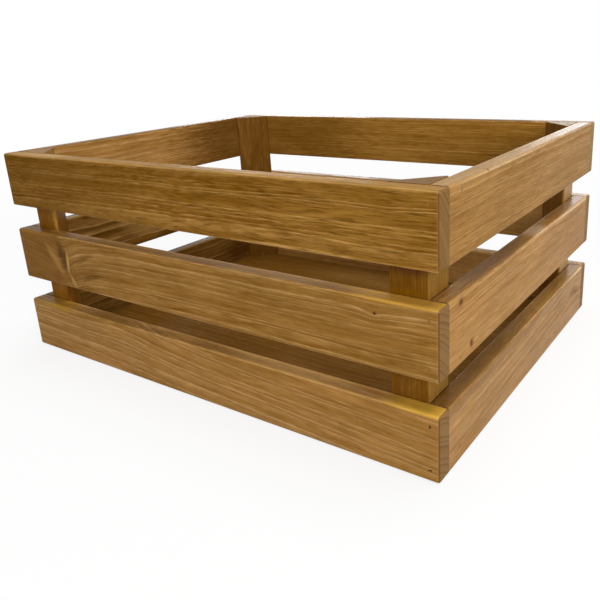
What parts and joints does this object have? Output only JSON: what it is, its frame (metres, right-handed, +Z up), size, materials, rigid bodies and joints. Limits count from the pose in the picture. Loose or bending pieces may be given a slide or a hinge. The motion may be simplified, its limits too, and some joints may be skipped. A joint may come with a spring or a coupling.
{
  "type": "slatted wooden display crate",
  "caption": "Low open-topped crate of stained pine slats with even gaps between the tiers, for displaying loose goods in a shop.",
  "frame": {"origin": "centre of the crate's underside, on the surface it stands on", "axes": "+X along the long side to the right, +Y from the front long side to the back one, +Z up"},
  "size_m": [0.4, 0.306, 0.173],
  "materials": {
    "long_slats": "solid pine, stained honey brown under satin varnish",
    "short_slats": "solid pine, stained honey brown under satin varnish",
    "corner_blocks": "solid pine, stained honey brown under satin varnish",
    "base_panel": "softwood plywood, stained brown, thin varnish",
    "brads": "plain steel wire, dulled by stain"
  },
  "bodies": {
    "root": {"front_slat_bottom": "long_slats", "back_slat_bottom": "long_slats", "left_slat_bottom": "short_slats", "right_slat_bottom": "short_slats", "front_slat_middle": "long_slats", "back_slat_middle": "long_slats", "left_slat_middle": "short_slats", "right_slat_middle": "short_slats", "front_slat_top": "long_slats", "back_slat_top": "long_slats", "left_slat_top": "short_slats", "right_slat_top": "short_slats", "corner_block_front_right": "corner_blocks", "corner_block_front_left": "corner_blocks", "corner_block_back_left": "corner_blocks", "corner_block_back_right": "corner_blocks", "base_panel": "base_panel", "brads_front": "brads", "brads_back": "brads", "brads_left": "brads", "brads_right": "brads", "brads_base": "brads"}
  },
  "joints": []
}
